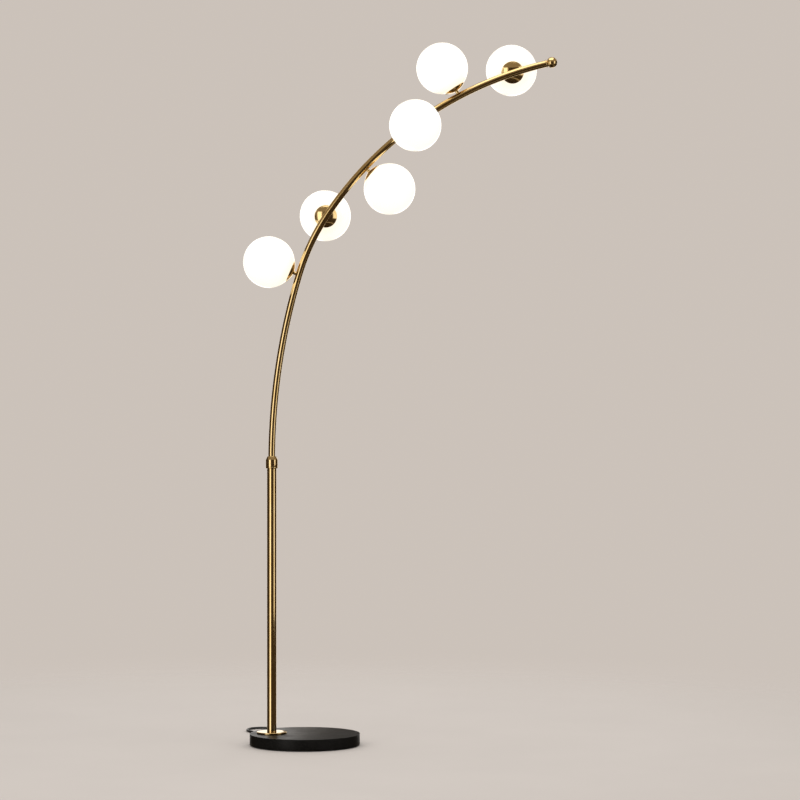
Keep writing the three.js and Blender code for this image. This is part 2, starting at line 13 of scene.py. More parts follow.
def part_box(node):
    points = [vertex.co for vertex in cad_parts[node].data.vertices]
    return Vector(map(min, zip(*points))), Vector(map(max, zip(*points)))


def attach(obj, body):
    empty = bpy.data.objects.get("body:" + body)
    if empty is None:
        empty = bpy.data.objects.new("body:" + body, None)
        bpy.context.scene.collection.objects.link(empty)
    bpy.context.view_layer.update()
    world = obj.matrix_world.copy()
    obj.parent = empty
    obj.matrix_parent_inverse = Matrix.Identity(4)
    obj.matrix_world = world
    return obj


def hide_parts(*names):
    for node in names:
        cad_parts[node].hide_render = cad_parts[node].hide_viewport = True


bl_info = {
    "name": "Arc Floor Lamp",
    "version": (1, 0, 0),
    "blender": (4, 5, 0),
    "location": "3D View > Sidebar > Arc Lamp",
    "description": "Builds the looks of an arc floor lamp with six opal globes on its packed frame",
    "category": "Object",
}

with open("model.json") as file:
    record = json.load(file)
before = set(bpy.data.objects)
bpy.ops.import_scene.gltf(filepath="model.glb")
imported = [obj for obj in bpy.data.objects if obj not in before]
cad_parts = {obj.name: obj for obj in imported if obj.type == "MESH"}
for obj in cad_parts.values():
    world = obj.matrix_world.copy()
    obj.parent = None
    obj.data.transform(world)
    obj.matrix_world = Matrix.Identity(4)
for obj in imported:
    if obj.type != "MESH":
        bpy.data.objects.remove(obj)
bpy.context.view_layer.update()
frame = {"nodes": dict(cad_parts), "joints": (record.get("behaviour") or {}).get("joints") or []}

# ---- places that follow from the frame ---------------------------------------------


def middle(node):
    low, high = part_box(node)
    return (low + high) / 2


def width(node):
    low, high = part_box(node)
    return high.x - low.x


POLE = middle("lower_pole")
POLE_RADIUS = width("lower_pole") / 2
POLE_BOTTOM, POLE_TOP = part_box("lower_pole")[0].z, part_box("lower_pole")[1].z
BASE_LOW, BASE_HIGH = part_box("base_disc")
BASE_RADIUS = (BASE_HIGH.x - BASE_LOW.x) / 2
BASE_BACK = BASE_HIGH.y
COLLAR_LOW, COLLAR_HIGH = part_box("lock_collar")
COLLAR_RADIUS = width("lock_collar") / 2
GLAND_LOW, GLAND_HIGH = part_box("cord_gland")
SWITCH_LOW, SWITCH_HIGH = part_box("switch_cover")
SWITCH = middle("switch_cover")
PLUG_LOW, PLUG_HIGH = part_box("plug_body")
COIL = middle("cord_coil")
CLEAR = 0.0003  # between pieces that meet
COIL_RADIUS = 0.032  # middle of the turns
CORD_REST = 0.00285  # height of a resting cord's middle
CORD_PITCH = 0.0055  # from one turn of the coil to the next
COIL_EDGE = COIL_RADIUS + 2 * CORD_PITCH + CLEAR  # where the cord runs beside the coil

# The bend: lengths and radii of the arcs, from upright at the top of the collar.
BENDS = ((0.012, 0.7), (0.414, 1.52), (0.162, 0.518), (0.621, 0.84))
SPIGOT = 0.158  # straight length below the collar's top
BEND_LENGTH = sum(length for length, _ in BENDS)
TUBE_RADIUS = 0.008
TUBE_WALL = 0.0012

# Along an arm, from the tube's axis.
GLOBE_RADIUS = 0.06
ARM_LENGTH = 0.0755
CUP_RADIUS = 0.026
CUP_APEX = 0.0126
CUP_WALL = 0.001
CUP_DOME = 0.0439
STEM_RADIUS = 0.004
STEM_BORE = 0.0023
STEM_BOTTOM, STEM_TOP = 0.0062, 0.0162
NECK_END = 0.0267  # where a globe's neck stops


def along_bend(distance):
    """The point on the tube's axis and its heading, in radians from upright towards +X."""
    x, z, heading = POLE.x, COLLAR_HIGH.z, 0.0
    if distance <= 0:
        return Vector((x, 0, z + distance)), heading
    for length, radius in BENDS:
        run = min(distance, length)
        turn = run / radius
        x += radius * (math.cos(heading) - math.cos(heading + turn))
        z += radius * (math.sin(heading + turn) - math.sin(heading))
        heading += turn
        distance -= run
        if distance <= 0:
            break
    return Vector((x, 0, z)), heading


def arm_places():
    """For each light, the matrix that puts +Z along its arm, with the origin on the tube's axis."""
    places = []
    for number in range(1, 7):
        joint = next(j for j in frame["joints"] if j["name"] == f"globe_{number}_turn")
        arm = Vector(joint["axis"]).normalized()
        origin = Vector(joint["pos_m"]) - arm * ARM_LENGTH
        turn = Vector((0, 0, 1)).rotation_difference(arm)
        places.append(Matrix.Translation(origin) @ turn.to_matrix().to_4x4())
    return places


# ---- sizes and colours that a user would change -------------------------------------


def colour_property(label, text, value):
    return FloatVectorProperty(
        name=label, description=text, subtype="COLOR", size=3, min=0, max=1, default=value
    )


def length_property(label, text, value, most=0.05):
    return FloatProperty(
        name=label, description=text, subtype="DISTANCE", unit="LENGTH",
        min=0, max=most, precision=4, default=value,
    )


class LampFinish(bpy.types.PropertyGroup):
    """Colours and gloss of the lamp."""

    brass: colour_property("Brass", "Colour of the polished brass", (0.80, 0.60, 0.30))
    brass_deep: colour_property("Deep brass", "Darker tone in the brass", (0.73, 0.52, 0.22))
    brass_roughness: FloatProperty(
        name="Brass roughness", description="Blur of what the brass reflects",
        subtype="FACTOR", min=0, max=1, default=0.09,
    )
    stone: colour_property("Stone", "Ground colour of the honed base", (0.006, 0.0055, 0.005))
    stone_grain: colour_property("Stone grain", "Lighter grain in the stone", (0.016, 0.015, 0.013))
    opal: colour_property("Opal glass", "Colour of the glass itself", (0.50, 0.49, 0.47))
    glow: colour_property("Glow", "Colour of the lit glass", (1.0, 0.93, 0.80))
    # painted shade: the glow by the cup is warmer and dimmer, as if the holder shaded the glass
    neck_shaded_glow: colour_property("Neck glow", "Colour of the lit glass by the cup", (1.0, 0.86, 0.64))
    glow_strength: FloatProperty(
        name="Glow strength", description="Strength of the lit glass, where 1 is white",
        subtype="FACTOR", min=0, max=1, default=0.78,
    )
    cord: colour_property("Cord", "Colour of the cord's sheath", (0.012, 0.012, 0.012))
    plastic: colour_property("Plastic", "Colour of the switch and plug", (0.014, 0.014, 0.015))


class LampSizes(bpy.types.PropertyGroup):
    """Edge sizes and fineness of the lamp's pieces."""

    base_edge: length_property("Base edge", "Width of the base's ground edge", 0.0008, 0.01)
    flange_edge: length_property("Flange edge", "Rounding of the flange's edge", 0.0016, 0.002)
    collar_edge: length_property("Collar edge", "Rounding of the collar's edges", 0.0007, 0.002)
    cord_diameter: length_property("Cord diameter", "Thickness of the mains cord", 0.0055, 0.01)
    tie_width: length_property("Tie width", "Width of the tie round the coil", 0.010, 0.03)
    tube_sides: IntProperty(
        name="Tube sides", description="Facets round the pole and the arch",
        min=24, max=128, default=64,
    )
    globe_sides: IntProperty(
        name="Globe sides", description="Facets round a globe", min=24, max=160, default=96
    )


class LampStage(bpy.types.PropertyGroup):
    """Camera, light and floor."""

    backdrop: colour_property("Backdrop", "Colour behind the lamp", (0.60, 0.54, 0.49))
    floor: colour_property("Floor", "Colour of the floor", (0.60, 0.545, 0.50))
    reflected: colour_property("Reflected room", "What the brass reflects", (0.30, 0.245, 0.185))
    room_light: FloatProperty(
        name="Room light", description="Level of the even light from all sides",
        subtype="FACTOR", min=0, max=2, default=0.75,
    )
    focal_length: FloatProperty(
        name="Focal length", description="Focal length of the camera in millimetres",
        min=20, max=300, default=125.7,
    )
    eye: FloatVectorProperty(
        name="Camera place", description="Where the camera stands",
        subtype="XYZ", unit="LENGTH", size=3, default=(0.2202, -6.463, 0.798),
    )


# ---- meshes --------------------------------------------------------------------------


def round_corners(points, steps=5, closed=True):
    """Rounds the corners of a line of (x, y, size) or (x, y) points; size is the rounding."""
    line = [(Vector(p[:2]), p[2] if len(p) > 2 else 0.0) for p in points]
    made = []
    for i, (point, size) in enumerate(line):
        ends = not closed and i in (0, len(line) - 1)
        if size <= 0 or ends:
            made.append(tuple(point))
            continue
        before, after = line[i - 1][0], line[(i + 1) % len(line)][0]
        a = point + (before - point).normalized() * min(size, (before - point).length / 2)
        b = point + (after - point).normalized() * min(size, (after - point).length / 2)
        for k in range(steps + 1):
            t = k / steps
            made.append(tuple(a * (1 - t) ** 2 + point * 2 * t * (1 - t) + b * t * t))
    return made


def arc_points(radius, centre, first, last, steps):
    """(radius, height) points round a ball; its angles are measured from its low pole."""
    angles = [first + (last - first) * k / steps for k in range(steps + 1)]
    return [(radius * math.sin(angle), centre - radius * math.cos(angle)) for angle in angles]


def turned(profile, sides, closed=False):
    """Vertices and faces of a section of (radius, height) points turned about Z."""
    vertices, rings = [], []
    for radius, height in profile:
        if radius < 1e-7:
            vertices.append((0, 0, height))
            rings.append([len(vertices) - 1] * sides)
            continue
        start = len(vertices)
        for k in range(sides):
            angle = 2 * math.pi * k / sides
            vertices.append((radius * math.cos(angle), radius * math.sin(angle), height))
        rings.append(list(range(start, start + sides)))
    faces = []
    pairs = list(zip(rings, rings[1:]))
    if closed:
        pairs.append((rings[-1], rings[0]))
    for low, high in pairs:
        for k in range(sides):
            n = (k + 1) % sides
            corners = []
            for corner in (low[k], low[n], high[n], high[k]):
                if corner not in corners:
                    corners.append(corner)
            if len(corners) > 2:
                faces.append(corners)
    return vertices, faces


def lofted(rings, closed_ends=True, looped=False):
    """Vertices and faces of a skin over rings of points, each with as many points."""
    vertices = [tuple(p) for ring in rings for p in ring]
    sides = len(rings[0])
    faces = []
    pairs = [(i, i + 1) for i in range(len(rings) - 1)]
    if looped:
        pairs.append((len(rings) - 1, 0))
    for low, high in pairs:
        for k in range(sides):
            n = (k + 1) % sides
            faces.append((low * sides + k, low * sides + n, high * sides + n, high * sides + k))
    if closed_ends and not looped:
        faces.append(tuple(range(sides))[::-1])
        faces.append(tuple((len(rings) - 1) * sides + k for k in range(sides)))
    return vertices, faces


def rounded_outline(length, breadth, corner, steps=6):
    """Points round a rectangle with rounded corners, and the angle of each."""
    x, y = length / 2 - corner, breadth / 2 - corner
    points = []
    for quarter, (sx, sy) in enumerate(((1, 1), (-1, 1), (-1, -1), (1, -1))):
        for k in range(steps + 1):
            angle = math.pi / 2 * (quarter + k / steps)
            points.append(
                (sx * x + corner * math.cos(angle), sy * y + corner * math.sin(angle), angle)
            )
    return points


def shaped(name, geometry, material, place=Matrix.Identity(4), crease=35):
    """A new object from (vertices, faces), smooth apart from edges sharper than crease degrees."""
    mesh = bpy.data.meshes.new(name)
    mesh.from_pydata(geometry[0], [], geometry[1])
    mesh.validate()
    work = bmesh.new()
    work.from_mesh(mesh)
    bmesh.ops.recalc_face_normals(work, faces=work.faces)
    work.to_mesh(mesh)
    work.free()
    mesh.polygons.foreach_set("use_smooth", [True] * len(mesh.polygons))
    mesh.set_sharp_from_angle(angle=math.radians(crease))
    mesh.materials.append(material)
    piece = bpy.data.objects.new(name, mesh)
    bpy.context.scene.collection.objects.link(piece)
    piece.matrix_world = place
    return piece


def levelled(piece):
    """Moves a piece's turn from the object into its mesh, which keeps the old height as a value."""
    mesh = piece.data
    along = mesh.attributes.new("along_arm", "FLOAT", "POINT")
    along.data.foreach_set("value", [vertex.co.z for vertex in mesh.vertices])
    mesh.transform(piece.matrix_world.to_quaternion().to_matrix().to_4x4())
    piece.matrix_world = Matrix.Translation(piece.matrix_world.translation)
    return piece


def carved(piece, cutters, crease=35):
    """Cuts the cutters out of a piece and removes them."""
    for cutter in cutters:
        modifier = piece.modifiers.new("cut", "BOOLEAN")
        modifier.operation, modifier.solver, modifier.object = "DIFFERENCE", "EXACT", cutter
    bpy.context.view_layer.update()
    depsgraph = bpy.context.evaluated_depsgraph_get()
    mesh = bpy.data.meshes.new_from_object(piece.evaluated_get(depsgraph))
    piece.modifiers.clear()
    piece.data = mesh
    mesh.polygons.foreach_set("use_smooth", [True] * len(mesh.polygons))
    mesh.set_sharp_from_angle(angle=math.radians(crease))
    for cutter in cutters:
        bpy.data.objects.remove(cutter)
    return piece


def stands_for(piece, body, slot, *nodes):
    """The piece rides on a body and stands for CAD nodes, which it hides; the slot is not used."""
    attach(piece, body)
    if nodes:
        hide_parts(*nodes)
    return piece


def finish_node(node, material):
    """Gives a CAD node that stays its material."""
    materials = frame["nodes"][node].data.materials
    materials.clear()
    materials.append(material)


# ---- cord routes ---------------------------------------------------------------------


def smooth_route(points):
    """Left handle, point and right handle of each point of a smooth route through points."""
    count = len(points)
    ends = [points[0] * 2 - points[1]] + list(points) + [points[-1] * 2 - points[-2]]
    gaps = [max((ends[i + 1] - ends[i]).length ** 0.5, 1e-4) for i in range(count + 1)]
    handles = []
    for i in range(count):
        before, here, after = ends[i], ends[i + 1], ends[i + 2]
        a, b = gaps[i], gaps[i + 1]
        slope = (here - before) / a - (after - before) / (a + b) + (after - here) / b
        left = here - slope * (a if i > 0 else b) / 3
        right = here + slope * (b if i < count - 1 else a) / 3
        handles.append((left, here, right))
    return handles


def cord_object(name, handles, diameter, material):
    """A round cord along a smooth curve."""
    curve = bpy.data.curves.new(name, "CURVE")
    curve.dimensions = "3D"
    curve.bevel_depth = diameter / 2
    curve.bevel_resolution = 6
    curve.resolution_u = 8
    curve.use_fill_caps = True
    curve.twist_mode = "Z_UP"
    spline = curve.splines.new("BEZIER")
    spline.bezier_points.add(len(handles) - 1)
    for point, (left, here, right) in zip(spline.bezier_points, handles):
        point.handle_left_type = point.handle_right_type = "FREE"
        point.handle_left, point.co, point.handle_right = left, here, right
    curve.materials.append(material)
    piece = bpy.data.objects.new(name, curve)
    bpy.context.scene.collection.objects.link(piece)
    return piece


def route_length(handles, steps=24):
    total = 0.0
    for (_, a, b), (c, d, _) in zip(handles, handles[1:]):
        last = a
        for k in range(1, steps + 1):
            t = k / steps
            here = (
                a * (1 - t) ** 3 + b * 3 * t * (1 - t) ** 2 + c * 3 * t * t * (1 - t) + d * t ** 3
            )
            total += (here - last).length
            last = here
    return total


def behind_base(*points, height=CORD_REST):
    """Points from millimetres measured from the back of the base; the height is optional."""
    return [
        Vector((p[0] / 1000, BASE_BACK + p[1] / 1000, p[2] / 1000 if len(p) > 2 else height))
        for p in points
    ]


def ease(value, low, high):
    """0 below low, 1 above high, and a smooth rise between."""
    t = min(max((value - low) / (high - low), 0.0), 1.0)
    return t * t * (3 - 2 * t)


COIL_START, COIL_TURN = -8.0, 1870.0  # degrees


def coil_route():
    """Five turns and a bit: three inwards on the floor, then the rest outwards on top of them."""
    pitch, entry, low, high, leaves = CORD_PITCH, COIL_EDGE, 0.00335, 0.00890, 0.0046
    made = []
    steps = 106
    for k in range(1, steps):
        turn = COIL_TURN * k / steps
        radius = entry
        radius -= (entry - COIL_RADIUS - pitch) * ease(turn, 0, 62)
        radius -= pitch * ease(turn, 352, 422) + pitch * ease(turn, 712, 782)
        radius += pitch * ease(turn, 1420, 1490)
        radius += (entry - COIL_RADIUS + 0.0004) * ease(turn, 1745, 1872)
        height = CORD_REST + (low - CORD_REST) * ease(turn, 0, 40)
        height += (high - low) * ease(turn, 1040, 1130)
        height -= (high - leaves) * ease(turn, 1812, 1885)
        made.append(beside_coil(COIL_START + turn, height, radius))
    return made


def beside_coil(angle, height=CORD_REST, radius=COIL_EDGE):
    turn = math.radians(angle)
    return Vector((COIL.x + radius * math.cos(turn), COIL.y + radius * math.sin(turn), height))


# ---- materials -----------------------------------------------------------------------


class Finish:
    """A material made of nodes. Each method adds nodes and returns a socket."""

    def __init__(self, name, roughness=0.5, metallic=0.0):
        self.material = bpy.data.materials.new(name)
        self.material.use_nodes = True
        self.tree = self.material.node_tree
        self.shader = self.tree.nodes["Principled BSDF"]
        self.shader.inputs["Roughness"].default_value = roughness
        self.shader.inputs["Metallic"].default_value = metallic
        self.place = self.tree.nodes.new("ShaderNodeTexCoord").outputs["Object"]

    def node(self, kind, inputs=(), **settings):
        node = self.tree.nodes.new(kind)
        for key, value in settings.items():
            setattr(node, key, value)
        for key, value in dict(inputs).items():
            if isinstance(value, bpy.types.NodeSocket):
                self.tree.links.new(value, node.inputs[key])
            else:
                node.inputs[key].default_value = value
        return node

    def noise(self, scale, detail=3.0, stretch=(1, 1, 1), source=None):
        mapped = self.node(
            "ShaderNodeMapping", {"Vector": source or self.place, "Scale": stretch}
        )
        made = self.node(
            "ShaderNodeTexNoise",
            {"Vector": mapped.outputs[0], "Scale": scale, "Detail": detail, "Roughness": 0.55},
        )
        return made.outputs["Fac"]

    def crystals(self, scale):
        made = self.node("ShaderNodeTexVoronoi", {"Vector": self.place, "Scale": scale})
        return made.outputs["Distance"]

    def turned_place(self):
        """Distance from the piece's own Z axis and height along it: the same all the way round."""
        parts = self.node("ShaderNodeSeparateXYZ", {"Vector": self.place}).outputs
        flat = self.node("ShaderNodeCombineXYZ", {"X": parts["X"], "Y": parts["Y"]})
        away = self.node("ShaderNodeVectorMath", {0: flat.outputs[0]}, operation="LENGTH")
        joined = {"X": away.outputs["Value"], "Y": parts["Z"]}
        return self.node("ShaderNodeCombineXYZ", joined).outputs[0]

    def attribute(self, name):
        return self.node("ShaderNodeAttribute", attribute_name=name).outputs["Fac"]

    def between(self, value, low, high, at_low=0.0, at_high=1.0):
        made = self.node(
            "ShaderNodeMapRange",
            {
                "Value": value, "From Min": low, "From Max": high,
                "To Min": at_low, "To Max": at_high,
            },
            interpolation_type="SMOOTHSTEP",
        )
        return made.outputs["Result"]

    def mottle(self, scale, detail, low, high, at_low=0.0, at_high=1.0):
        """Noise between low and high, brought to between at_low and at_high."""
        return self.between(self.noise(scale, detail), low, high, at_low, at_high)

    def blend(self, factor, first, second):
        made = self.node("ShaderNodeMix", data_type="RGBA")
        colours = [s for s in made.inputs if s.type == "RGBA"]
        for socket, value in zip(colours, (first, second)):
            if isinstance(value, bpy.types.NodeSocket):
                self.tree.links.new(value, socket)
            else:
                socket.default_value = (*value, 1)
        self.tree.links.new(factor, made.inputs[0])
        return next(s for s in made.outputs if s.type == "RGBA")

    def colour(self, socket):
        self.tree.links.new(socket, self.shader.inputs["Base Color"])

    def roughness(self, socket):
        self.tree.links.new(socket, self.shader.inputs["Roughness"])

    def relief(self, *layers):
        """Bumps from (height socket, depth in metres, strength), one on another."""
        last = None
        for height, depth, strength in layers:
            inputs = {"Height": height, "Distance": depth, "Strength": strength}
            if last is not None:
                inputs["Normal"] = last
            last = self.node("ShaderNodeBump", inputs).outputs["Normal"]
        self.tree.links.new(last, self.shader.inputs["Normal"])


def grey_pair(finish, low, high, factor):
    finish.colour(finish.blend(factor, low, high))


def polished_brass(name="polished_brass", spun=False):
    """Lacquered brass: faint waves from drawing or spinning, soft smears in the lacquer."""
    looks = bpy.context.scene.lamp_finish
    finish = Finish(name, metallic=1.0)
    smears = finish.noise(14, 4)
    finish.colour(
        finish.blend(finish.between(smears, 0.35, 0.7), tuple(looks.brass), tuple(looks.brass_deep))
    )
    rough = looks.brass_roughness
    source = finish.turned_place() if spun else None
    marks = finish.noise(1700 if spun else 900, 2, (1, 1, 1 if spun else 0.06), source)
    finish.roughness(finish.between(marks, 0.25, 0.75, rough * 0.75, rough * 1.6))
    finish.relief((finish.noise(60, 2), 0.0003, 0.03))
    return finish.material


def honed_stone():
    """Black honed stone: fine grain, a few crystals that catch the light, faint clouds."""
    looks = bpy.context.scene.lamp_finish
    finish = Finish("honed_stone")
    grain = finish.noise(420, 4)
    clouds = finish.noise(22, 5)
    ground = finish.blend(
        finish.between(grain, 0.45, 0.75), tuple(looks.stone), tuple(looks.stone_grain)
    )
    cloudy = finish.blend(finish.between(clouds, 0.5, 0.75, 0, 0.5), ground, (0.012, 0.011, 0.010))
    crystals = finish.between(finish.crystals(700), 0.05, 0.16, 1, 0)
    rare = finish.mottle(160, 1, 0.58, 0.66)
    spots = finish.node("ShaderNodeMath", {0: crystals, 1: rare}, operation="MULTIPLY")
    finish.colour(finish.blend(spots.outputs[0], cloudy, (0.06, 0.056, 0.05)))
    finish.roughness(finish.between(clouds, 0.3, 0.7, 0.34, 0.44))
    finish.shader.inputs["Specular IOR Level"].default_value = 0.12
    finish.relief((grain, 0.0002, 0.10), (finish.noise(1500, 2), 0.00005, 0.15))
    return finish.material


def foam_pad():
    finish = Finish("foam_pad")
    cells = finish.crystals(900)
    grey_pair(finish, (0.012, 0.012, 0.012), (0.035, 0.034, 0.033), finish.between(cells, 0.1, 0.6))
    finish.roughness(finish.between(cells, 0, 0.6, 1.0, 0.85))
    finish.relief((cells, 0.0003, 0.6))
    return finish.material


def bright_steel(name="bright_steel", roughness=0.3):
    """Zinc-plated steel with a fine grain and a faint blue and yellow cast."""
    finish = Finish(name, metallic=1.0)
    cast = finish.mottle(90, 3, 0.35, 0.65)
    finish.colour(finish.blend(cast, (0.55, 0.56, 0.58), (0.60, 0.58, 0.52)))
    grain = finish.noise(1200, 2)
    finish.roughness(finish.between(grain, 0.3, 0.7, roughness - 0.06, roughness + 0.08))
    finish.relief((grain, 0.00005, 0.2))
    return finish.material


def natural_nylon():
    finish = Finish("natural_nylon")
    clouds = finish.mottle(60, 3, 0.3, 0.7)
    finish.colour(finish.blend(clouds, (0.74, 0.71, 0.63), (0.80, 0.78, 0.72)))
    finish.roughness(finish.mottle(500, 2, 0.3, 0.7, 0.42, 0.55))
    finish.relief((finish.noise(300, 2), 0.0001, 0.2))
    return finish.material


def glazed_ceramic():
    finish = Finish("glazed_ceramic", roughness=0.25)
    clouds = finish.mottle(80, 3, 0.3, 0.7)
    finish.colour(finish.blend(clouds, (0.80, 0.78, 0.73), (0.86, 0.85, 0.81)))
    finish.roughness(finish.mottle(220, 2, 0.3, 0.7, 0.18, 0.32))
    finish.relief((finish.noise(180, 2), 0.0002, 0.15))
    return finish.material


def lamp_glass():
    """The capsule lamps inside the globes, lit."""
    finish = Finish("lamp_glass", roughness=0.1)
    mist = finish.mottle(120, 2, 0.3, 0.7)
    finish.colour(finish.blend(mist, (0.9, 0.85, 0.72), (0.95, 0.92, 0.84)))
    finish.tree.links.new(
        finish.blend(mist, (1.0, 0.80, 0.48), (1.0, 0.86, 0.60)),
        finish.shader.inputs["Emission Color"],
    )
    finish.shader.inputs["Emission Strength"].default_value = 1.0
    finish.relief((finish.noise(90, 2), 0.0002, 0.1))
    return finish.material


def opal_glass():
    """Blown opal glass, lit from inside, with painted shade by the neck: a warmer, dimmer glow
    where the holder stands in the way.
    """
    looks = bpy.context.scene.lamp_finish
    finish = Finish("opal_glass", roughness=0.16)
    cloud = finish.mottle(16, 3, 0.3, 0.7)
    base = tuple(looks.opal)
    finish.colour(finish.blend(cloud, base, tuple(min(1.0, c * 1.08) for c in base)))
    along = finish.attribute("along_arm")
    # painted shade: near the cup the glow turns to the warmer, dimmer neck colour, as if the holder
    # shaded the glass
    neck = finish.between(along, 0.019, 0.040, 1.0, 0.0)
    body = finish.blend(cloud, tuple(looks.glow), tuple(c ** 1.08 for c in looks.glow))
    finish.tree.links.new(
        finish.blend(neck, body, tuple(looks.neck_shaded_glow)), finish.shader.inputs["Emission Color"]
    )
    finish.shader.inputs["Emission Strength"].default_value = looks.glow_strength
    finish.roughness(finish.mottle(40, 2, 0.3, 0.7, 0.13, 0.20))
    finish.relief((finish.noise(26, 2), 0.0006, 0.05))
    return finish.material


def cord_sheath():
    looks = bpy.context.scene.lamp_finish
    finish = Finish("cord_sheath")
    base = tuple(looks.cord)
    dust = finish.mottle(70, 4, 0.45, 0.75)
    finish.colour(finish.blend(dust, base, tuple(c * 1.9 for c in base)))
    finish.roughness(finish.mottle(240, 2, 0.3, 0.7, 0.36, 0.50))
    finish.relief((finish.noise(900, 2), 0.00006, 0.25))
    return finish.material


def moulded(name, roughness, grain_scale=1400, depth=0.00006):
    """Moulded plastic or rubber with a fine eroded texture."""
    looks = bpy.context.scene.lamp_finish
    finish = Finish(name)
    base = tuple(looks.plastic)
    wear = finish.mottle(110, 4, 0.5, 0.8)
    finish.colour(finish.blend(wear, base, tuple(c * 2.0 for c in base)))
    grain = finish.noise(grain_scale, 2)
    finish.roughness(finish.between(grain, 0.3, 0.7, roughness - 0.05, roughness + 0.08))
    finish.relief((grain, depth, 0.35))
    return finish.material


def woven_tie():
    """Hook-and-loop tie: a dense weave of short loops."""
    finish = Finish("woven_tie")
    loops = finish.crystals(1500)
    grey_pair(finish, (0.008, 0.008, 0.009), (0.030, 0.030, 0.032), finish.between(loops, 0.1, 0.5))
    finish.roughness(finish.between(loops, 0, 0.6, 0.95, 0.8))
    finish.relief((loops, 0.0003, 0.7))
    return finish.material


def shared(maker, *arguments):
    """The material of that maker, made once."""
    key = "_".join([maker.__name__, *[str(a) for a in arguments]])
    found = next((m for m in bpy.data.materials if m.get("lamp_key") == key), None)
    if found is None:
        found = maker(*arguments)
        found["lamp_key"] = key
    return found


# ---- operators -----------------------------------------------------------------------


class LAMP_OT_camera(bpy.types.Operator):
    """Puts the camera at eye level in front of the lamp"""

    bl_idname = "arc_lamp.camera"
    bl_label = "Camera"

    def execute(self, context):
        settings = context.scene.lamp_stage
        data = bpy.data.cameras.new("camera")
        data.sensor_width = 36
        data.lens = settings.focal_length
        data.clip_start, data.clip_end = 0.05, 60
        camera = bpy.data.objects.new("camera", data)
        camera.location = settings.eye
        camera.rotation_euler = (math.radians(90), 0, 0)
        context.scene.collection.objects.link(camera)
        context.scene.camera = camera
        return {"FINISHED"}


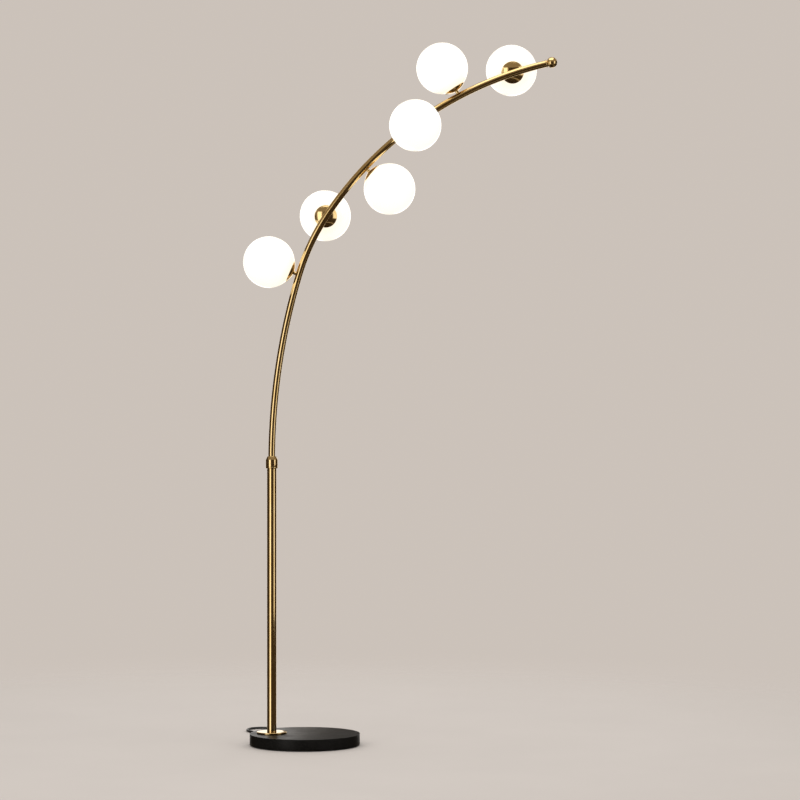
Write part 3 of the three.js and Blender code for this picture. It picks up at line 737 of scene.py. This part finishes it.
class LAMP_OT_cord(bpy.types.Operator):
    """Lays the mains cord, its coil, the coil's tie and the strain relief"""

    bl_idname = "arc_lamp.cord"
    bl_label = "Mains cord"

    def execute(self, context):
        sizes = context.scene.lamp_sizes
        sheath = shared(cord_sheath)
        x = POLE.x * 1000
        exit_y = (GLAND_HIGH.y - BASE_BACK) * 1000 + 0.3
        level = (GLAND_LOW.z + GLAND_HIGH.z) * 500
        switch_y = (SWITCH.y - BASE_BACK) * 1000
        left, right = SWITCH_LOW.x * 1000, SWITCH_HIGH.x * 1000
        to_switch = behind_base(
            (x, exit_y, level), (x, exit_y + 8, level - 0.2), (-78, 14.5, 4), (-87, 38.5),
            (-106, 68.5), (-130, 98.5), (-145.7, 128.5), (-146.6, 153.5), (-138.5, 174.5),
            (-121.5, 184.7), (-102.5, 182.3), (-88.5, 167.5), (-79, 146), (-71, 121),
            (-66, 99), (-64, 78.5), (-63.8, 61.5), (-61.3, 48),
            (left - 23.5, switch_y + 11.8, 3.3), (left - 14.8, switch_y + 3.9, 5),
            (left - 6.5, switch_y + 0.6, 6.2), (left - 0.3, switch_y, 6.5),
        )
        plug_y = (PLUG_HIGH.y - BASE_BACK) * 1000
        plug_x, plug_z = middle("plug_body").x * 1000, middle("plug_body").z * 1000
        to_coil = behind_base(
            (right + 0.3, switch_y, 6.5), (right + 5, switch_y, 6.4),
            (right + 10, switch_y, 5.9), (53, 26.5, 3.4), (69, 37.5), (79, 56.5),
        )
        to_plug = behind_base(
            (38, 139.5, 3.0), (14, 150.5), (-8, 151.5), (-23, 143.5, 4),
            (plug_x, plug_y + 10, 6.2), (plug_x, plug_y + 4, 6.8), (plug_x, plug_y + 0.3, plug_z),
        )
        first = smooth_route(to_switch)
        second = smooth_route(
            [*to_coil, beside_coil(COIL_START), *coil_route(), beside_coil(62, 0.0046), *to_plug]
        )
        base_cord = cord_object("cord_from_base", first, sizes.cord_diameter, sheath)
        stands_for(base_cord, "stand", "cord_sheath", "cord_to_switch")
        plug_cord = cord_object("cord_to_mains", second, sizes.cord_diameter, sheath)
        stands_for(
            plug_cord, "stand", "cord_sheath", "cord_to_coil", "cord_coil", "cord_to_plug"
        )
        self.make_relief(to_switch[0])
        self.make_tie(sizes)
        context.scene["lamp_cords"] = [route_length(first), route_length(second)]
        return {"FINISHED"}

    def make_relief(self, leaves):
        """A ribbed rubber sleeve that grips the cord where it leaves the base."""
        wide, thin = (GLAND_HIGH.x - GLAND_LOW.x) / 2, 0.0032
        inside = 0.010
        total = GLAND_HIGH.y - GLAND_LOW.y
        profile = [(0, 0), (wide, 0, 0.0003), (wide, inside, 0.0005)]
        ribs, ribbed = 6, total - inside - 0.0016
        pitch = ribbed / ribs
        for k in range(ribs):
            at = inside + 0.0006 + ribbed * k / ribs
            grows = wide - (wide - thin) * (k + 0.2) / ribs
            profile += [
                (grows - 0.0006, at, 0.0002), (grows - 0.0006, at + pitch * 0.35, 0.0002),
                (grows, at + pitch * 0.45, 0.0003), (grows, at + pitch * 0.95, 0.0003),
            ]
        profile += [(thin, total - 0.0004, 0.0003), (thin - 0.0002, total), (0, total)]
        place = Matrix.Translation((leaves.x, GLAND_LOW.y, leaves.z))
        place = place @ Matrix.Rotation(math.radians(-90), 4, "X")
        points = round_corners(profile, 3, closed=False)
        piece = shaped(
            "strain_relief", turned(points, 40), shared(moulded, "black_rubber", 0.62), place
        )
        stands_for(piece, "stand", "black_rubber", "cord_gland")

    def make_tie(self, sizes):
        """A band closed round the coil's turns."""
        pitch = sizes.cord_diameter
        low, high = COIL_RADIUS - 1.5 * pitch - 0.0002, COIL_RADIUS + 1.5 * pitch + 0.0002
        inner = [
            (low, 0.00045, 0.0015), (high, 0.00045, 0.0015), (high, 0.0064, 0.002),
            (COIL_RADIUS + 0.5 * pitch + 0.0012, 0.0117, 0.002), (low, 0.0117, 0.002),
        ]
        thick = 0.0004
        outer = [
            (low - thick, 0.00005, 0.0018), (high + thick, 0.00005, 0.0018),
            (high + thick, 0.0066, 0.0022),
            (COIL_RADIUS + 0.5 * pitch + 0.0014, 0.0121, 0.0022), (low - thick, 0.0121, 0.0022),
        ]
        half = sizes.tie_width / 2
        inside, outside = round_corners(inner, 5), round_corners(outer, 5)
        rings = [
            [(p[0], -half, p[1]) for p in inside], [(p[0], -half, p[1]) for p in outside],
            [(p[0], half, p[1]) for p in outside], [(p[0], half, p[1]) for p in inside],
        ]
        place = Matrix.Translation((COIL.x, COIL.y, 0)) @ Matrix.Rotation(math.radians(215), 4, "Z")
        tie = shaped("coil_tie", lofted(rings, looped=True), shared(woven_tie), place)
        stands_for(tie, "stand", "black_rubber")


class LAMP_OT_base(bpy.types.Operator):
    """Makes the stone base and its foam pad, and finishes the fixings under it"""

    bl_idname = "arc_lamp.base"
    bl_label = "Base"

    def execute(self, context):
        sizes = context.scene.lamp_sizes
        pad_low, pad_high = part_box("base_pad")
        pad_radius, edge = (pad_high.x - pad_low.x) / 2, 0.0004
        profile = round_corners(
            [(0, 0), (pad_radius, 0, edge), (pad_radius, pad_high.z, edge), (0, pad_high.z)],
            3, closed=False,
        )
        pad = shaped("foam_base_pad", turned(profile, 96), shared(foam_pad))
        stands_for(pad, "stand", "foot_pad", "base_pad")

        edge, low, high = sizes.base_edge, BASE_LOW.z, BASE_HIGH.z
        profile = round_corners(
            [(0, low), (BASE_RADIUS, low, edge), (BASE_RADIUS, high, edge), (0, high)],
            3, closed=False,
        )
        stone = shared(honed_stone)
        disc = shaped("stone_base", turned(profile, 160), stone)
        cutters = [self.bar(0.023, low - 0.001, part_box("base_washer")[1].z + CLEAR, 40)]
        cutters.append(self.bar(0.0056, low, high + 0.001, 32))
        channel_top = GLAND_HIGH.z + CLEAR
        half = 0.0045
        box = [(-half, 0), (half, 0), (half, BASE_RADIUS), (-half, BASE_RADIUS)]
        rings = [[(x, y, z) for x, y in box] for z in (low - 0.001, channel_top)]
        cutters.append(
            shaped("channel", lofted(rings), stone, Matrix.Translation((POLE.x, 0, 0)))
        )
        carved(disc, cutters)
        stands_for(disc, "stand", "black_stone", "base_disc")
        for node in ("base_washer", "base_nut", "pole_stud", "pole_insert"):
            finish_node(node, shared(bright_steel))
        for node in ("supply_lead", "wiring_loom"):
            finish_node(node, shared(cord_sheath))
        return {"FINISHED"}

    def bar(self, radius, low, high, sides):
        points = [(0, low), (radius, low), (radius, high), (0, high)]
        return shaped(
            "bar", turned(points, sides), shared(honed_stone), Matrix.Translation((POLE.x, 0, 0))
        )


class LAMP_OT_pole(bpy.types.Operator):
    """Makes the pole, the flange at its foot and the collar at its top"""

    bl_idname = "arc_lamp.pole"
    bl_label = "Pole, flange and collar"

    def execute(self, context):
        sizes = context.scene.lamp_sizes
        spun = shared(polished_brass, "spun_brass", True)
        place = Matrix.Translation((POLE.x, 0, 0))

        low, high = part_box("pole_flange")
        outer, inner = (high.x - low.x) / 2, POLE_RADIUS + 0.0002
        edge = sizes.flange_edge
        profile = [
            (inner, low.z), (outer - 0.0003, low.z, 0.0002), (outer, low.z + 0.0003, 0.0002),
            (outer, high.z, edge), (inner, high.z, 0.0003),
        ]
        flange = shaped("brass_flange", turned(round_corners(profile, 6), 128, True), spun, place)
        stands_for(flange, "stand", "brass", "pole_flange")

        bore = POLE_RADIUS - 0.0015
        profile = [
            (bore, POLE_BOTTOM), (POLE_RADIUS, POLE_BOTTOM), (POLE_RADIUS, POLE_TOP, 0.0003),
            (bore, POLE_TOP, 0.0003),
        ]
        pole = shaped(
            "brass_pole", turned(round_corners(profile, 2), sizes.tube_sides, True),
            shared(polished_brass), place,
        )
        stands_for(pole, "stand", "brass", "lower_pole")

        edge, low, high = sizes.collar_edge, COLLAR_LOW.z, COLLAR_HIGH.z
        band_top, mouth = high - 0.008, TUBE_RADIUS + CLEAR
        seat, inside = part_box("guide_sleeve")[1].z + CLEAR, POLE_RADIUS + 0.0002
        profile = [
            (inside, low), (COLLAR_RADIUS, low, edge), (COLLAR_RADIUS, low + 0.0026, 0.0002),
            (COLLAR_RADIUS - 0.0003, low + 0.0029, 0.0001),
            (COLLAR_RADIUS - 0.0003, low + 0.0034, 0.0001),
            (COLLAR_RADIUS, low + 0.0037, 0.0002), (COLLAR_RADIUS, band_top, edge),
            (mouth + 0.0017, high, 0.0005), (mouth, high, 0.0002), (mouth, seat), (inside, seat),
        ]
        collar = shaped("brass_collar", turned(round_corners(profile, 4), 96, True), spun, place)
        stands_for(collar, "lock_collar", "brass", "lock_collar")
        for node in ("guide_sleeve", "spigot_bush", "lead_connector"):
            finish_node(node, shared(natural_nylon))
        return {"FINISHED"}


class LAMP_OT_arch(bpy.types.Operator):
    """Makes the bent tube with the ring and ball at its tip"""

    bl_idname = "arc_lamp.arch"
    bl_label = "Arch"

    def execute(self, context):
        sizes = context.scene.lamp_sizes
        sides = sizes.tube_sides
        steps = [-SPIGOT, -SPIGOT / 2, -0.004, 0.0]
        steps += [BEND_LENGTH * k / 150 for k in range(1, 151)]
        skins = []
        for radius in (TUBE_RADIUS, TUBE_RADIUS - TUBE_WALL):
            skin = []
            for distance in steps:
                centre, heading = along_bend(distance)
                outwards = Vector((-math.cos(heading), 0, math.sin(heading)))
                skin.append([
                    centre
                    + outwards * (radius * math.cos(2 * math.pi * k / sides))
                    + Vector((0, radius * math.sin(2 * math.pi * k / sides), 0))
                    for k in range(sides)
                ])
            skins.append(skin)
        geometry = lofted([*skins[0], *reversed(skins[1])], looped=True)
        tube = shaped("brass_arch", geometry, shared(polished_brass), crease=40)
        stands_for(tube, "arch", "brass", "arch_tube")

        tip, heading = along_bend(BEND_LENGTH)
        place = Matrix.Translation(tip) @ Matrix.Rotation(heading, 4, "Y")
        brass = shared(polished_brass)
        bore, outer, low, high = TUBE_RADIUS - TUBE_WALL, TUBE_RADIUS + 0.00125, CLEAR, 0.0028
        profile = [
            (bore, low), (outer, low, 0.001), (outer, high, 0.001), (bore, high, 0.0002)
        ]
        ring = shaped("brass_tip_ring", turned(round_corners(profile, 5), 64, True), brass, place)
        levelled(ring)
        stands_for(ring, "arch", "brass", "end_ring")

        ball_radius, neck, facet = 0.013, 0.0062, 0.0005
        start = math.asin(neck / ball_radius)
        centre = high + CLEAR + ball_radius * math.cos(start)
        profile = [(0, -0.012), (neck, -0.012)]
        profile += arc_points(ball_radius - facet, centre, start, math.pi, 32)
        ball = shaped("brass_tip_ball", turned(profile, 64), brass, place)
        levelled(ball)
        stands_for(ball, "arch", "brass", "end_ball")
        return {"FINISHED"}


class LAMP_OT_lights(bpy.types.Operator):
    """Makes the six stems, cups and lit globes, and finishes the holders and lamps inside"""

    bl_idname = "arc_lamp.lights"
    bl_label = "Lights"

    def execute(self, context):
        sizes = context.scene.lamp_sizes
        brass, spun = shared(polished_brass), shared(polished_brass, "spun_brass", True)
        glass = shared(opal_glass)
        for number, place in enumerate(arm_places(), 1):
            stem = shaped(f"brass_stem_{number}", self.stem(), brass, place)
            stands_for(stem, "arch", "brass", f"stem_{number}")
            cup = shaped(f"brass_cup_{number}", self.cup(), spun, place)
            stands_for(cup, "arch", "brass", f"cup_{number}")
            globe = shaped(f"opal_globe_{number}", self.globe(sizes.globe_sides), glass, place)
            levelled(globe)
            stands_for(globe, f"globe_{number}", "opal_glass", f"globe_{number}")
            finish_node(f"lampholder_{number}", shared(glazed_ceramic))
            finish_node(f"bulb_{number}", shared(lamp_glass))
        return {"FINISHED"}

    def stem(self):
        profile = [
            (STEM_BORE, STEM_BOTTOM), (STEM_RADIUS, STEM_BOTTOM),
            (STEM_RADIUS, STEM_TOP), (STEM_BORE, STEM_TOP),
        ]
        return turned(profile, 40, True)

    def cup(self):
        """A shallow spun dome with a rolled rim that follows the glass."""

        def dome(radius):
            return CUP_APEX + CUP_DOME - math.sqrt(CUP_DOME ** 2 - radius ** 2)

        def glass(radius):
            return ARM_LENGTH - math.sqrt(GLOBE_RADIUS ** 2 - radius ** 2) - CLEAR

        hole = STEM_RADIUS + CLEAR
        outer = [hole + (CUP_RADIUS - hole) * k / 18 for k in range(19)]
        profile = [(radius, dome(radius)) for radius in outer[:-1]]
        rim = dome(CUP_RADIUS)
        profile += [
            (CUP_RADIUS - 0.0003, rim - 0.0005), (CUP_RADIUS - 0.00005, rim - 0.00025),
            (CUP_RADIUS, rim), (CUP_RADIUS - 0.0003, rim + 0.00025),
        ]
        inner = [CUP_RADIUS - CUP_WALL - (CUP_RADIUS - CUP_WALL - hole) * k / 10 for k in range(11)]
        profile += [(radius, min(dome(radius) + CUP_WALL, glass(radius))) for radius in inner]
        return turned(profile, 96, True)

    def globe(self, sides):
        """A blown globe with its neck turned in, 1.8 mm thick."""
        wall, neck, facet = 0.0018, 0.0161, 0.00055
        outside = GLOBE_RADIUS - facet  # the solid's flats lie that far inside its radius
        inside = outside - wall
        lip = neck + 0.0025
        profile = arc_points(outside, ARM_LENGTH, math.asin(neck / outside), math.pi, 48)
        profile += arc_points(inside, ARM_LENGTH, math.pi, math.asin(lip / inside), 24)
        profile += [(lip, NECK_END), (neck, NECK_END)]
        return turned(profile, sides, True)


class LAMP_OT_switch(bpy.types.Operator):
    """Makes the foot switch"""

    bl_idname = "arc_lamp.switch"
    bl_label = "Foot switch"

    def execute(self, context):
        plastic = shared(moulded, "black_plastic", 0.42)
        place = Matrix.Translation((SWITCH.x, SWITCH.y, 0))
        low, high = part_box("switch_base")
        length, breadth = high.x - low.x, high.y - low.y
        rings = []
        for inset, height in ((0.0006, 0), (0, 0.0006), (0, high.z - 0.0004), (0.0004, high.z)):
            rings.append(self.outline(length - 2 * inset, breadth - 2 * inset, 0.011, height))
        base = shaped("foot_switch_base", lofted(rings), plastic, place)
        stands_for(base, "stand", "black_plastic", "switch_base")
        cover = shaped("foot_switch_cover", self.cover(), plastic, place, crease=50)
        stands_for(cover, "stand", "black_plastic", "switch_cover")
        button = shaped(
            "foot_switch_button", self.button(), shared(moulded, "black_button", 0.34), place
        )
        stands_for(button, "switch_button", "black_plastic", "switch_button")
        finish_node("switch_block", shared(natural_nylon))
        return {"FINISHED"}

    def outline(self, length, breadth, corner, height):
        return [(x, y, height) for x, y, _ in rounded_outline(length, breadth, corner)]

    def cover(self):
        """A shell with a crowned top edge, a seam line and a round hole for the button."""
        low, high = SWITCH_LOW.z, SWITCH_HIGH.z
        length, breadth = SWITCH_HIGH.x - SWITCH_LOW.x, SWITCH_HIGH.y - SWITCH_LOW.y
        corner, wall, fillet = 0.012, 0.0016, 0.0038
        rings = [self.outline(length - 2 * wall, breadth - 2 * wall, corner - wall, low)]
        for inset, height in ((0.0005, low), (0.0, low + 0.0004), (0.0, high - fillet)):
            rings.append(
                self.outline(length - 2 * inset, breadth - 2 * inset, corner - inset, height)
            )
        for k in range(1, 7):
            angle = math.pi / 2 * k / 6
            inset = fillet * (1 - math.cos(angle))
            height = high - fillet + fillet * math.sin(angle) * 0.97
            rings.append(
                self.outline(length - 2 * inset, breadth - 2 * inset, corner - inset, height)
            )
        rings[-1] = [(x, y, high - 0.0001) for x, y, _ in rings[-1]]
        outline = rounded_outline(length, breadth, corner)
        hole = width("switch_button") / 2 - 0.0015 + 0.0002
        for radius, height in (
            (hole + 0.0022, high), (hole + 0.0006, high), (hole, high - 0.0006),
            (hole, high - wall), (hole + 0.003, high - wall),
        ):
            rings.append(
                [(radius * math.cos(a), radius * math.sin(a), height) for _, _, a in outline]
            )
        rings.append(
            self.outline(length - 2 * wall, breadth - 2 * wall, corner - wall, high - wall)
        )
        return lofted(rings, looped=True)

    def button(self):
        low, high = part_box("switch_button")
        skirt = (high.x - low.x) / 2
        radius = skirt - 0.0015
        shoulder = low.z + 0.002
        profile = [
            (0, low.z), (skirt, low.z, 0.0002), (skirt, shoulder, 0.0002), (radius, shoulder),
            (radius, high.z - 0.0001, 0.0012), (radius * 0.62, high.z - 0.0001, 0.0008),
            (radius * 0.5, high.z - 0.0005, 0.001), (0, high.z - 0.0006),
        ]
        return turned(round_corners(profile, 5, closed=False), 64)


class LAMP_OT_plug(bpy.types.Operator):
    """Makes the two-pin mains plug"""

    bl_idname = "arc_lamp.plug"
    bl_label = "Mains plug"

    def execute(self, context):
        centre = middle("plug_body")
        thickness = PLUG_HIGH.z - PLUG_LOW.z
        face = PLUG_LOW.y
        place = Matrix.Translation((centre.x, face, centre.z))
        wide = PLUG_HIGH.x - PLUG_LOW.x
        # (distance from the face, width, thickness, corner) of sections along the body
        sections = [
            (0.0, wide - 0.0030, thickness - 0.0030, 0.0035),
            (0.0006, wide - 0.0012, thickness - 0.0012, 0.0044),
            (0.0018, wide, thickness, 0.0050), (0.0150, wide, thickness, 0.0050),
            (0.0185, wide - 0.0012, thickness - 0.0010, 0.0050),
            (0.0230, 0.0300, thickness - 0.0028, 0.0048),
            (0.0275, 0.0238, thickness - 0.0034, 0.0046),
            (0.0320, 0.0178, thickness - 0.0028, 0.0044), (0.0350, 0.0142, 0.0110, 0.0046),
            (0.0365, 0.0110, 0.0098, 0.00485),
        ]
        rings = [self.section(*s) for s in sections]
        nose, tip, ribs = 0.0365, PLUG_HIGH.y - face, 6
        pitch = (tip - nose) / ribs
        for k in range(ribs):
            wide_here = 0.0096 - (0.0096 - 0.0071) * k / (ribs - 1)
            groove = wide_here - 0.0011
            for at, size in ((0.12, groove), (0.38, groove), (0.48, wide_here), (0.95, wide_here)):
                distance = nose + (tip - nose) * k / ribs + pitch * at
                rings.append(self.section(distance, size, size, size / 2 - 0.00001))
        rings.append(self.section(tip, 0.0066, 0.0066, 0.00329))
        plastic = shared(moulded, "black_plastic", 0.42)
        body = shaped("mains_plug", lofted(rings), plastic, place, 40)
        stands_for(body, "stand", "black_plastic", "plug_body")
        for number in (1, 2):
            low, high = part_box(f"plug_pin_{number}")
            x = (low.x + high.x) / 2
            length = high.y - low.y
            sleeve = 0.0095
            profile = [
                (0, -0.002), (0.0020, -0.002), (0.0020, sleeve, 0.0001), (0.00188, sleeve + 0.0001),
                (0.00188, length - 0.0013, 0.0012), (0, length),
            ]
            turn = Matrix.Rotation(math.radians(90), 4, "X")
            pin = shaped(
                f"mains_pin_{number}", turned(round_corners(profile, 5, closed=False), 32),
                shared(bright_steel, "nickel_pin", 0.2),
                Matrix.Translation((x, high.y, centre.z)) @ turn,
            )
            pin.data.materials.append(shared(moulded, "pin_sleeve", 0.45))
            for polygon in pin.data.polygons:
                polygon.material_index = 1 if polygon.center.z < sleeve else 0
            stands_for(pin, "stand", "pin_metal", f"plug_pin_{number}")
        return {"FINISHED"}

    def section(self, distance, breadth, height, corner):
        return [(x, distance, z) for x, z, _ in rounded_outline(breadth, height, corner)]


class LAMP_OT_free_cords(bpy.types.Operator):
    """Does nothing; the Mains cord step keeps the two lengths of cord in the scene."""

    bl_idname = "arc_lamp.free_cords"
    bl_label = "Cord facts"

    def execute(self, context):
        return {"FINISHED"}


LIT_CENTRE = Vector((0.15, 0, 0.85))  # what the lights face


class LAMP_OT_stage(bpy.types.Operator):
    """Makes the floor, the backdrop and the soft lights"""

    bl_idname = "arc_lamp.stage"
    bl_label = "Floor, backdrop and lights"

    def execute(self, context):
        settings = context.scene.lamp_stage
        context.scene.view_settings.view_transform = "Standard"
        self.make_world(context, settings)
        self.make_floor(settings)
        self.lamp("key_light", -37, 3.2, 0.9, (1.5, 3.2), 1.15)
        self.lamp("side_light", 62, 3.2, 1.5, (1.4, 2.3), 0.8)
        self.lamp("top_light", 0, 0.2, 3.2, (2.2, 2.2), 1.3)
        self.lamp("back_light_right", 164, 3.2, 1.1, (1.2, 3.0), 0.9)
        self.lamp("back_light_left", -164, 3.2, 1.1, (1.2, 3.0), 0.9)
        self.make_screens()
        return {"FINISHED"}

    def make_world(self, context, settings):
        """Even light, and the backdrop's colour for what is seen and reflected."""
        world = bpy.data.worlds.new("studio")
        context.scene.world = world
        world.use_nodes = True
        tree = world.node_tree
        tree.nodes.clear()
        light = tree.nodes.new("ShaderNodeBackground")
        light.inputs["Color"].default_value = (1, 1, 1, 1)
        light.inputs["Strength"].default_value = settings.room_light
        out = tree.nodes.new("ShaderNodeOutputWorld")
        path = tree.nodes.new("ShaderNodeLightPath")
        last = light.outputs[0]
        for name, colour in (
            ("Is Glossy Ray", settings.reflected), ("Is Transmission Ray", settings.backdrop),
            ("Is Camera Ray", settings.backdrop),
        ):
            seen = tree.nodes.new("ShaderNodeBackground")
            seen.inputs["Color"].default_value = (*colour, 1)
            mix = tree.nodes.new("ShaderNodeMixShader")
            tree.links.new(path.outputs[name], mix.inputs[0])
            tree.links.new(last, mix.inputs[1])
            tree.links.new(seen.outputs[0], mix.inputs[2])
            last = mix.outputs[0]
        tree.links.new(last, out.inputs["Surface"])

    def make_floor(self, settings):
        """A round floor that fades into the backdrop away from the lamp."""
        finish = Finish("floor", roughness=0.9)
        finish.shader.inputs["Specular IOR Level"].default_value = 0.1
        grain = finish.mottle(3, 3, 0.3, 0.7)
        base = tuple(settings.floor)
        finish.colour(finish.blend(grain, base, tuple(c * 0.98 for c in base)))
        away = finish.node("ShaderNodeVectorMath", {0: finish.place}, operation="LENGTH")
        fade = finish.between(away.outputs["Value"], 0.7, 2.4, 0, 1)
        clear = finish.node("ShaderNodeBsdfTransparent")
        mix = finish.node("ShaderNodeMixShader")
        finish.tree.links.new(fade, mix.inputs[0])
        finish.tree.links.new(finish.shader.outputs[0], mix.inputs[1])
        finish.tree.links.new(clear.outputs[0], mix.inputs[2])
        out = finish.tree.nodes["Material Output"]
        finish.tree.links.new(mix.outputs[0], out.inputs["Surface"])
        radii = [0, 0.3, 0.8, 1.4, 2.0, 2.5]
        floor = shaped("floor", turned([(r, 0) for r in radii], 96), finish.material)
        floor.location.z = -0.0005
        floor.visible_glossy = False

    def lamp(self, name, azimuth, distance, height, size, level):
        """A soft box that faces the lamp; level is how bright its face is, where 1 is white."""
        data = bpy.data.lights.new(name, "AREA")
        data.shape = "RECTANGLE"
        data.size, data.size_y = size
        data.energy = 4 * size[0] * size[1] * level
        light = bpy.data.objects.new(name, data)
        light.location = self.around(azimuth, distance, height)
        back = light.location - LIT_CENTRE
        light.rotation_euler = back.to_track_quat("Z", "Y").to_euler()
        light.visible_camera = False
        bpy.context.scene.collection.objects.link(light)

    def around(self, azimuth, distance, height):
        """A place round the lamp; azimuth is in degrees, from the front towards +X."""
        turn = math.radians(azimuth)
        x, y = LIT_CENTRE.x + distance * math.sin(turn), -distance * math.cos(turn)
        return Vector((x, y, height))

    def make_screens(self):
        """Dark screens round the lamp, seen only in what is reflected, for the brass's contrast."""
        finish = Finish("dark_screen", roughness=0.9)
        clouds = finish.mottle(2, 2, 0.3, 0.7)
        finish.colour(finish.blend(clouds, (0.045, 0.026, 0.010), (0.055, 0.034, 0.014)))
        distance, bottom, tall, short, steps = 2.6, -1.0, 2.3, 0.4, 12
        # (first azimuth, last azimuth, top) of each screen; the gaps show the lights
        spans = (
            (-14, 46, tall), (46, 78, short), (78, 152, tall), (176, 184, tall),
            (-60, -152, tall),
        )
        for number, (first, last, top) in enumerate(spans, 1):
            turns = [first + (last - first) * k / steps for k in range(steps + 1)]
            vertices = [self.around(turn, distance, z) for z in (bottom, top) for turn in turns]
            faces = [(k, k + 1, k + steps + 2, k + steps + 1) for k in range(steps)]
            self.reflected_only(shaped(f"screen_{number}", (vertices, faces), finish.material))
        depth, radius = -0.6, 1.9
        below = turned([(0, depth), (radius, depth)], 48)
        self.reflected_only(shaped("screen_below", below, finish.material))

    def reflected_only(self, screen):
        screen.visible_camera = screen.visible_diffuse = False
        screen.visible_shadow = screen.visible_transmission = False


STEPS = (
    LAMP_OT_camera, LAMP_OT_cord, LAMP_OT_base, LAMP_OT_pole, LAMP_OT_arch, LAMP_OT_lights,
    LAMP_OT_switch, LAMP_OT_plug, LAMP_OT_free_cords, LAMP_OT_stage,
)


class LAMP_PT_panel(bpy.types.Panel):
    """The lamp's pieces and settings"""

    bl_idname = "LAMP_PT_panel"
    bl_label = "Arc Floor Lamp"
    bl_space_type = "VIEW_3D"
    bl_region_type = "UI"
    bl_category = "Arc Lamp"

    def draw(self, context):
        layout = self.layout
        for step in STEPS:
            layout.operator(step.bl_idname)
        scene = context.scene
        for group in (scene.lamp_finish, scene.lamp_sizes, scene.lamp_stage):
            column = layout.column(align=True)
            for name in group.__annotations__:
                column.prop(group, name)


CLASSES = (LampFinish, LampSizes, LampStage, *STEPS, LAMP_PT_panel)


def register():
    for cls in CLASSES:
        bpy.utils.register_class(cls)
    bpy.types.Scene.lamp_finish = PointerProperty(type=LampFinish)
    bpy.types.Scene.lamp_sizes = PointerProperty(type=LampSizes)
    bpy.types.Scene.lamp_stage = PointerProperty(type=LampStage)


def unregister():
    del bpy.types.Scene.lamp_stage
    del bpy.types.Scene.lamp_sizes
    del bpy.types.Scene.lamp_finish
    for cls in reversed(CLASSES):
        bpy.utils.unregister_class(cls)


def main():
    register()
    for step in STEPS:
        group, name = step.bl_idname.split(".")
        getattr(getattr(bpy.ops, group), name)()


if __name__ == "__main__":
    main()
